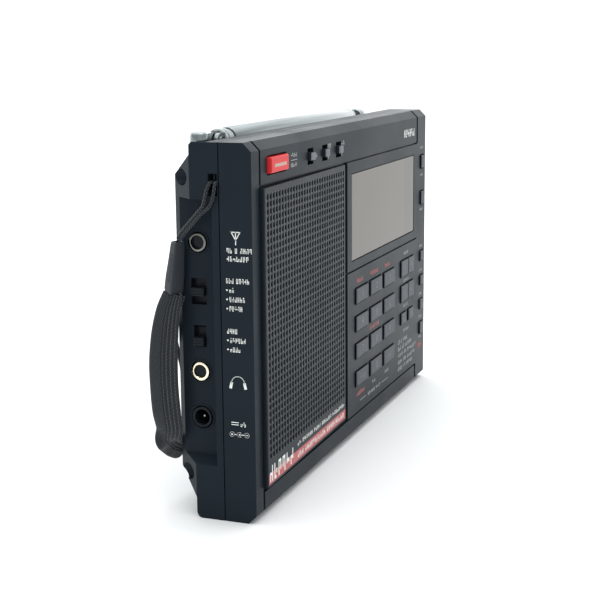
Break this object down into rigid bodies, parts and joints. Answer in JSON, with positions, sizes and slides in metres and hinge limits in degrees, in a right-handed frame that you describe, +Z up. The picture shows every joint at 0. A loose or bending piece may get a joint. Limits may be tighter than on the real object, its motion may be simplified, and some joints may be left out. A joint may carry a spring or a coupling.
{
  "type": "shortwave receiver",
  "caption": "Flat portable shortwave receiver with speaker grille, display, keypad, folding telescopic antenna, side jacks and a wrist strap.",
  "frame": {"origin": "centre of the bottom face, where the set stands", "axes": "+X to the right seen from the front, +Y towards the back, +Z up"},
  "size_m": [0.1901, 0.0364, 0.1167],
  "materials": {
    "case": "fine satin moulding, near black",
    "grille": "satin, near black",
    "display_pane": "clear, warm grey behind",
    "display_back": "warm grey, satin",
    "key": "satin, dark grey",
    "power": "glossy red",
    "knob": "satin black",
    "chrome": "bright polished",
    "gold": "bright gold plating",
    "dark_metal": "dark nickel",
    "steel": "plated pressing",
    "cone": "pressed paper",
    "board": "solder mask green",
    "mat": "soft, dark",
    "ferrite": "sintered, dull",
    "cells": "printed sleeve, plain",
    "strap": "woven nylon, black"
  },
  "bodies": {
    "case": {"front_shell": "case", "rear_shell": "case", "speaker_grille": "grille", "lcd_window": "display_pane", "lcd_module": "display_back", "speaker_frame": "steel", "speaker_cone": "cone", "main_pcb": "board", "keypad_mat": "mat", "ferrite_rod": "ferrite", "battery_cells": "cells", "antenna_jack": "dark_metal", "headphone_jack": "gold", "dc_jack": "knob", "strap_cord": "strap", "strap_clip": "knob", "strap_webbing": "strap"},
    "key_1": {"key_1": "key"},
    "key_2": {"key_2": "key"},
    "key_3": {"key_3": "key"},
    "key_4": {"key_4": "key"},
    "key_5": {"key_5": "key"},
    "key_6": {"key_6": "key"},
    "key_7": {"key_7": "key"},
    "key_8": {"key_8": "key"},
    "key_9": {"key_9": "key"},
    "key_10": {"key_10": "key"},
    "key_11": {"key_11": "key"},
    "key_12": {"key_12": "key"},
    "cluster_key_1": {"cluster_key_1": "key"},
    "cluster_key_2": {"cluster_key_2": "key"},
    "cluster_key_3": {"cluster_key_3": "key"},
    "cluster_key_4": {"cluster_key_4": "key"},
    "cluster_key_5": {"cluster_key_5": "key"},
    "cluster_key_6": {"cluster_key_6": "key"},
    "edge_key_1": {"edge_key_1": "key"},
    "edge_key_2": {"edge_key_2": "key"},
    "edge_key_3": {"edge_key_3": "key"},
    "edge_key_4": {"edge_key_4": "key"},
    "edge_key_5": {"edge_key_5": "key"},
    "edge_key_6": {"edge_key_6": "key"},
    "power_button": {"power_button": "power"},
    "band_switch_1": {"band_switch_1": "knob"},
    "band_switch_2": {"band_switch_2": "knob"},
    "band_switch_3": {"band_switch_3": "knob"},
    "gain_switch": {"gain_switch": "knob"},
    "tone_switch": {"tone_switch": "knob"},
    "tuning_wheel": {"tuning_wheel": "knob"},
    "fine_tuning_wheel": {"fine_tuning_wheel": "knob"},
    "volume_wheel": {"volume_wheel": "knob"},
    "kickstand": {"kickstand": "case"},
    "battery_cover": {"battery_cover": "case"},
    "antenna_base": {"antenna_base": "chrome"},
    "antenna_section_1": {"antenna_section_1": "chrome"},
    "antenna_section_2": {"antenna_section_2": "chrome"},
    "antenna_section_3": {"antenna_section_3": "chrome"},
    "antenna_section_4": {"antenna_section_4": "chrome"},
    "antenna_section_5": {"antenna_section_5": "chrome"},
    "antenna_section_6": {"antenna_section_6": "chrome"}
  },
  "joints": [
    {"name": "key_1_press", "type": "slide", "parent": "case", "child": "key_1", "axis": [0, 1, 0], "range_m": [0, 0.0008], "stiffness_N_per_m": 300},
    {"name": "key_2_press", "type": "slide", "parent": "case", "child": "key_2", "axis": [0, 1, 0], "range_m": [0, 0.0008], "stiffness_N_per_m": 300},
    {"name": "key_3_press", "type": "slide", "parent": "case", "child": "key_3", "axis": [0, 1, 0], "range_m": [0, 0.0008], "stiffness_N_per_m": 300},
    {"name": "key_4_press", "type": "slide", "parent": "case", "child": "key_4", "axis": [0, 1, 0], "range_m": [0, 0.0008], "stiffness_N_per_m": 300},
    {"name": "key_5_press", "type": "slide", "parent": "case", "child": "key_5", "axis": [0, 1, 0], "range_m": [0, 0.0008], "stiffness_N_per_m": 300},
    {"name": "key_6_press", "type": "slide", "parent": "case", "child": "key_6", "axis": [0, 1, 0], "range_m": [0, 0.0008], "stiffness_N_per_m": 300},
    {"name": "key_7_press", "type": "slide", "parent": "case", "child": "key_7", "axis": [0, 1, 0], "range_m": [0, 0.0008], "stiffness_N_per_m": 300},
    {"name": "key_8_press", "type": "slide", "parent": "case", "child": "key_8", "axis": [0, 1, 0], "range_m": [0, 0.0008], "stiffness_N_per_m": 300},
    {"name": "key_9_press", "type": "slide", "parent": "case", "child": "key_9", "axis": [0, 1, 0], "range_m": [0, 0.0008], "stiffness_N_per_m": 300},
    {"name": "key_10_press", "type": "slide", "parent": "case", "child": "key_10", "axis": [0, 1, 0], "range_m": [0, 0.0008], "stiffness_N_per_m": 300},
    {"name": "key_11_press", "type": "slide", "parent": "case", "child": "key_11", "axis": [0, 1, 0], "range_m": [0, 0.0008], "stiffness_N_per_m": 300},
    {"name": "key_12_press", "type": "slide", "parent": "case", "child": "key_12", "axis": [0, 1, 0], "range_m": [0, 0.0008], "stiffness_N_per_m": 300},
    {"name": "cluster_key_1_press", "type": "slide", "parent": "case", "child": "cluster_key_1", "axis": [0, 1, 0], "range_m": [0, 0.0008], "stiffness_N_per_m": 300},
    {"name": "cluster_key_2_press", "type": "slide", "parent": "case", "child": "cluster_key_2", "axis": [0, 1, 0], "range_m": [0, 0.0008], "stiffness_N_per_m": 300},
    {"name": "cluster_key_3_press", "type": "slide", "parent": "case", "child": "cluster_key_3", "axis": [0, 1, 0], "range_m": [0, 0.0008], "stiffness_N_per_m": 300},
    {"name": "cluster_key_4_press", "type": "slide", "parent": "case", "child": "cluster_key_4", "axis": [0, 1, 0], "range_m": [0, 0.0008], "stiffness_N_per_m": 300},
    {"name": "cluster_key_5_press", "type": "slide", "parent": "case", "child": "cluster_key_5", "axis": [0, 1, 0], "range_m": [0, 0.0008], "stiffness_N_per_m": 300},
    {"name": "cluster_key_6_press", "type": "slide", "parent": "case", "child": "cluster_key_6", "axis": [0, 1, 0], "range_m": [0, 0.0008], "stiffness_N_per_m": 300},
    {"name": "edge_key_1_press", "type": "slide", "parent": "case", "child": "edge_key_1", "axis": [0, 1, 0], "range_m": [0, 0.0008], "stiffness_N_per_m": 300},
    {"name": "edge_key_2_press", "type": "slide", "parent": "case", "child": "edge_key_2", "axis": [0, 1, 0], "range_m": [0, 0.0008], "stiffness_N_per_m": 300},
    {"name": "edge_key_3_press", "type": "slide", "parent": "case", "child": "edge_key_3", "axis": [0, 1, 0], "range_m": [0, 0.0008], "stiffness_N_per_m": 300},
    {"name": "edge_key_4_press", "type": "slide", "parent": "case", "child": "edge_key_4", "axis": [0, 1, 0], "range_m": [0, 0.0008], "stiffness_N_per_m": 300},
    {"name": "edge_key_5_press", "type": "slide", "parent": "case", "child": "edge_key_5", "axis": [0, 1, 0], "range_m": [0, 0.0008], "stiffness_N_per_m": 300},
    {"name": "edge_key_6_press", "type": "slide", "parent": "case", "child": "edge_key_6", "axis": [0, 1, 0], "range_m": [0, 0.0008], "stiffness_N_per_m": 300},
    {"name": "power_button_press", "type": "slide", "parent": "case", "child": "power_button", "axis": [0, 1, 0], "range_m": [0, 0.001], "stiffness_N_per_m": 300},
    {"name": "band_switch_1_slide", "type": "slide", "parent": "case", "child": "band_switch_1", "axis": [0, 0, 1], "range_m": [-0.0012, 0.0012]},
    {"name": "band_switch_2_slide", "type": "slide", "parent": "case", "child": "band_switch_2", "axis": [0, 0, 1], "range_m": [-0.0012, 0.0012]},
    {"name": "band_switch_3_slide", "type": "slide", "parent": "case", "child": "band_switch_3", "axis": [0, 0, 1], "range_m": [-0.0012, 0.0012]},
    {"name": "gain_switch_slide", "type": "slide", "parent": "case", "child": "gain_switch", "axis": [0, 0, 1], "range_m": [-0.0025, 0.0025]},
    {"name": "tone_switch_slide", "type": "slide", "parent": "case", "child": "tone_switch", "axis": [0, 0, 1], "range_m": [0, 0.0032]},
    {"name": "tuning_wheel_turn", "type": "hinge", "parent": "case", "child": "tuning_wheel", "pos_m": [0.084, 0, 0.078], "axis": [0, 1, 0], "continuous": true},
    {"name": "fine_tuning_wheel_turn", "type": "hinge", "parent": "case", "child": "fine_tuning_wheel", "pos_m": [0.087, 0, 0.052], "axis": [0, 1, 0], "continuous": true},
    {"name": "volume_wheel_turn", "type": "hinge", "parent": "case", "child": "volume_wheel", "pos_m": [0.087, 0, 0.027], "axis": [0, 1, 0], "range_deg": [-150, 150]},
    {"name": "kickstand_hinge", "type": "hinge", "parent": "case", "child": "kickstand", "pos_m": [-0.028, 0.0154, 0.06], "axis": [1, 0, 0], "range_deg": [0, 60]},
    {"name": "battery_cover_slide", "type": "slide", "parent": "case", "child": "battery_cover", "axis": [1, 0, 0], "range_m": [0, 0.07]},
    {"name": "antenna_swivel", "type": "hinge", "parent": "case", "child": "antenna_base", "pos_m": [-0.0873, 0.004, 0.1093], "axis": [0, 0, 1], "range_deg": [0, 90]},
    {"name": "antenna_hinge", "type": "hinge", "parent": "antenna_base", "child": "antenna_section_1", "pos_m": [-0.078, 0.004, 0.1132], "axis": [0, -1, 0], "range_deg": [0, 90]},
    {"name": "antenna_slide_1", "type": "slide", "parent": "antenna_section_1", "child": "antenna_section_2", "axis": [1, 0, 0], "range_m": [0, 0.11]},
    {"name": "antenna_slide_2", "type": "slide", "parent": "antenna_section_2", "child": "antenna_section_3", "axis": [1, 0, 0], "range_m": [0, 0.11]},
    {"name": "antenna_slide_3", "type": "slide", "parent": "antenna_section_3", "child": "antenna_section_4", "axis": [1, 0, 0], "range_m": [0, 0.11]},
    {"name": "antenna_slide_4", "type": "slide", "parent": "antenna_section_4", "child": "antenna_section_5", "axis": [1, 0, 0], "range_m": [0, 0.11]},
    {"name": "antenna_slide_5", "type": "slide", "parent": "antenna_section_5", "child": "antenna_section_6", "axis": [1, 0, 0], "range_m": [0, 0.11]}
  ]
}
